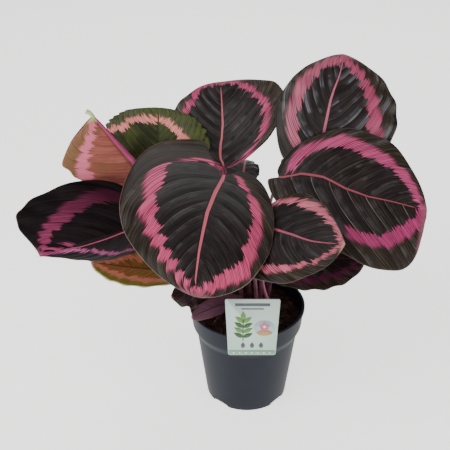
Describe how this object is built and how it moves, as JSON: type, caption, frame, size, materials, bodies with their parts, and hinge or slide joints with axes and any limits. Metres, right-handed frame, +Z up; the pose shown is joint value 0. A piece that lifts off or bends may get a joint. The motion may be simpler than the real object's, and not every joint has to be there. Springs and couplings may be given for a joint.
{
  "type": "potted calathea",
  "caption": "Prayer plant with large oval ring-marked leaves on slender stalks, rooted in soil in a round tapered plastic nursery pot with a care label.",
  "frame": {"origin": "middle of the pot's foot, on the surface the pot stands on", "axes": "+Z up, +X to the viewer's right as the plant faces the camera, +Y away from the viewer"},
  "size_m": [0.4004, 0.305, 0.3431],
  "materials": {
    "pot": "matte",
    "soil": "matte",
    "label": "satin",
    "stalk": "satin",
    "leaf": "satin",
    "green_leaf": "satin",
    "leaf_underside": "satin"
  },
  "bodies": {
    "root": {"pot": "pot", "soil": "soil", "label": "label", "stalk_front": "stalk", "leaf_front": "leaf", "stalk_right": "stalk", "leaf_right": "leaf", "stalk_top_right": "stalk", "leaf_top_right": "leaf", "stalk_top_centre": "stalk", "leaf_top_centre": "leaf", "stalk_green": "stalk", "leaf_green": "green_leaf", "stalk_rolled": "stalk", "leaf_rolled": "leaf_underside", "stalk_left": "stalk", "leaf_left": "leaf", "stalk_under_left": "stalk", "leaf_under_left": "leaf_underside", "stalk_small_front": "stalk", "leaf_small_front": "leaf", "stalk_low_right": "stalk", "leaf_low_right": "leaf", "stalk_low_purple": "stalk", "leaf_low_purple": "leaf_underside", "stalk_low_curly": "stalk", "leaf_low_curly": "leaf", "stalk_back_left": "stalk", "leaf_back_left": "leaf", "stalk_back_centre": "stalk", "leaf_back_centre": "leaf", "stalk_back_right": "stalk", "leaf_back_right": "leaf"}
  },
  "joints": []
}
